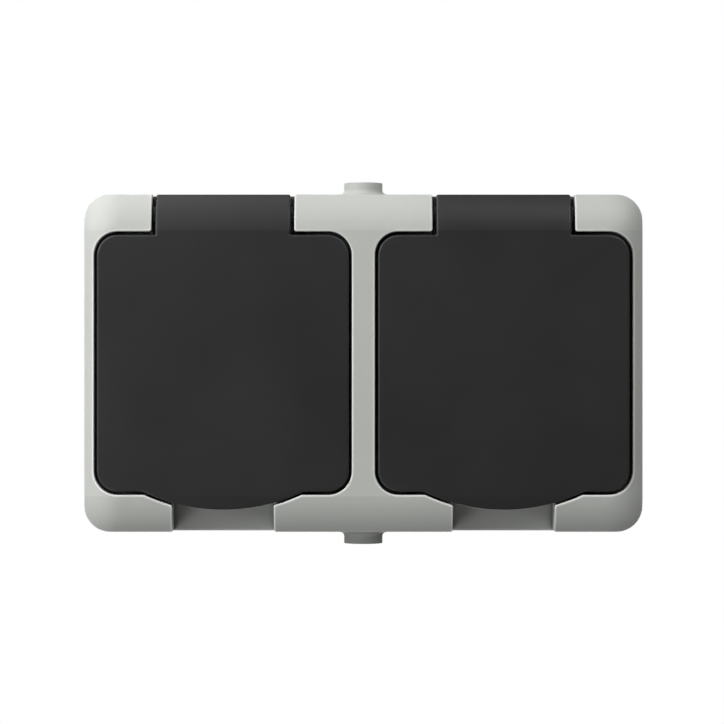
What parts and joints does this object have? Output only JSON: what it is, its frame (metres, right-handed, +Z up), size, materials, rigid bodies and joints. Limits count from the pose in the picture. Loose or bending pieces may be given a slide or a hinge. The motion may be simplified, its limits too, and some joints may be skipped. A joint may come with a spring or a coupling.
{
  "type": "outdoor weatherproof socket",
  "caption": "Surface-mounted weatherproof power socket: grey housing, sprung anthracite lids over round plug recesses, cable spigots at top and bottom, screwed to a wall through its back.",
  "frame": {"origin": "middle of the wall fixing pattern, in the plane of the back face", "axes": "+X to the right along the longest side, +Y into the wall, +Z up; the lids face -Y"},
  "size_m": [0.1416, 0.06, 0.096],
  "materials": {
    "housing_grey": "fine satin moulded plastic, light warm grey",
    "membrane_grey": "soft matt thermoplastic rubber, light grey",
    "lid_anthracite": "fine satin moulded plastic, anthracite",
    "pot_anthracite": "satin moulded plastic, anthracite",
    "seal_rubber": "soft black foam rubber",
    "screw_steel": "zinc-plated steel",
    "spring_steel": "drawn stainless steel wire",
    "pin_black": "black-oxidised steel, dull",
    "contact_brass": "bright stamped brass",
    "bow_nickel": "nickel-plated spring strip",
    "carrier_beige": "matt heat-proof plastic, pale",
    "shutter_white": "smooth low-friction plastic, off-white",
    "link_brown": "insulated stiff link, brown",
    "link_blue": "insulated stiff link, blue",
    "link_green": "insulated stiff link, green"
  },
  "bodies": {
    "housing": {"base_box": "housing_grey", "front_cover": "housing_grey", "cover_seal": "seal_rubber", "membrane_top": "membrane_grey", "membrane_bottom": "membrane_grey", "cover_screws": "screw_steel", "pot_screws": "screw_steel", "insert_screws": "screw_steel", "terminal_screws": "screw_steel", "live_link": "link_brown", "neutral_link": "link_blue", "earth_link": "link_green", "hinge_pin_left": "pin_black", "lid_spring_left": "spring_steel", "socket_pot_left": "pot_anthracite", "shutter_spring_left": "spring_steel", "earth_bow_left": "bow_nickel", "earth_terminal_left": "contact_brass", "live_contact_left": "contact_brass", "neutral_contact_left": "contact_brass", "contact_carrier_left": "carrier_beige", "hinge_pin_right": "pin_black", "lid_spring_right": "spring_steel", "socket_pot_right": "pot_anthracite", "shutter_spring_right": "spring_steel", "earth_bow_right": "bow_nickel", "earth_terminal_right": "contact_brass", "live_contact_right": "contact_brass", "neutral_contact_right": "contact_brass", "contact_carrier_right": "carrier_beige"},
    "lid_body_left": {"lid_left": "lid_anthracite", "lid_seal_left": "seal_rubber"},
    "shutter_body_left": {"shutter_left": "shutter_white"},
    "lid_body_right": {"lid_right": "lid_anthracite", "lid_seal_right": "seal_rubber"},
    "shutter_body_right": {"shutter_right": "shutter_white"}
  },
  "joints": [
    {"name": "lid_hinge_left", "type": "hinge", "parent": "housing", "child": "lid_body_left", "pos_m": [-0.0355, -0.0571, 0.0376], "axis": [-1, 0, 0], "range_deg": [0, 110], "stiffness_Nm_per_rad": 0.01, "springref_deg": -28.65, "deforming": ["lid_spring_left"]},
    {"name": "lid_hinge_right", "type": "hinge", "parent": "housing", "child": "lid_body_right", "pos_m": [0.0355, -0.0571, 0.0376], "axis": [-1, 0, 0], "range_deg": [0, 110], "stiffness_Nm_per_rad": 0.01, "springref_deg": -28.65, "deforming": ["lid_spring_right"]},
    {"name": "shutter_turn_left", "type": "hinge", "parent": "housing", "child": "shutter_body_left", "pos_m": [-0.0355, -0.0346, 0], "axis": [0, -1, 0], "range_deg": [0, 40], "stiffness_Nm_per_rad": 0.0005, "springref_deg": -34.38, "deforming": ["shutter_spring_left"]},
    {"name": "shutter_turn_right", "type": "hinge", "parent": "housing", "child": "shutter_body_right", "pos_m": [0.0355, -0.0346, 0], "axis": [0, -1, 0], "range_deg": [0, 40], "stiffness_Nm_per_rad": 0.0005, "springref_deg": -34.38, "deforming": ["shutter_spring_right"]}
  ]
}
